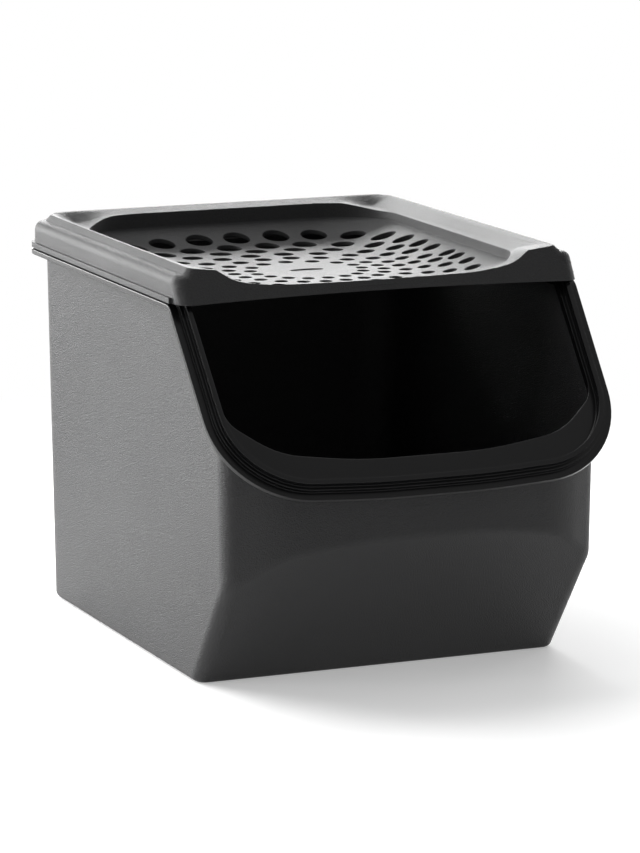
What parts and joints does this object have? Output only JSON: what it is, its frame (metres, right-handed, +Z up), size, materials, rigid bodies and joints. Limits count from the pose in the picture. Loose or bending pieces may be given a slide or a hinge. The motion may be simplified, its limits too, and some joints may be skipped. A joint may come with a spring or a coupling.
{
  "type": "onion keeper",
  "caption": "Moulded kitchen keeper with a slanted scoop mouth, a chamfered front and a vented, dished lid that lifts off.",
  "frame": {"origin": "middle of the whole keeper, on the surface that it stands on", "axes": "+X to the keeper's right seen from the front, +Y to the back, +Z up; the mouth faces -Y"},
  "size_m": [0.19, 0.2576, 0.1796],
  "materials": {
    "bin_polypropylene": "fine moulded grain",
    "lid_polypropylene": "fine moulded grain"
  },
  "bodies": {
    "bin": {"bin": "bin_polypropylene"},
    "lid": {"lid": "lid_polypropylene"}
  },
  "joints": [
    {"name": "lid_lift", "type": "slide", "parent": "bin", "child": "lid", "axis": [0, 0, 1], "range_m": [0, 0.06]}
  ]
}
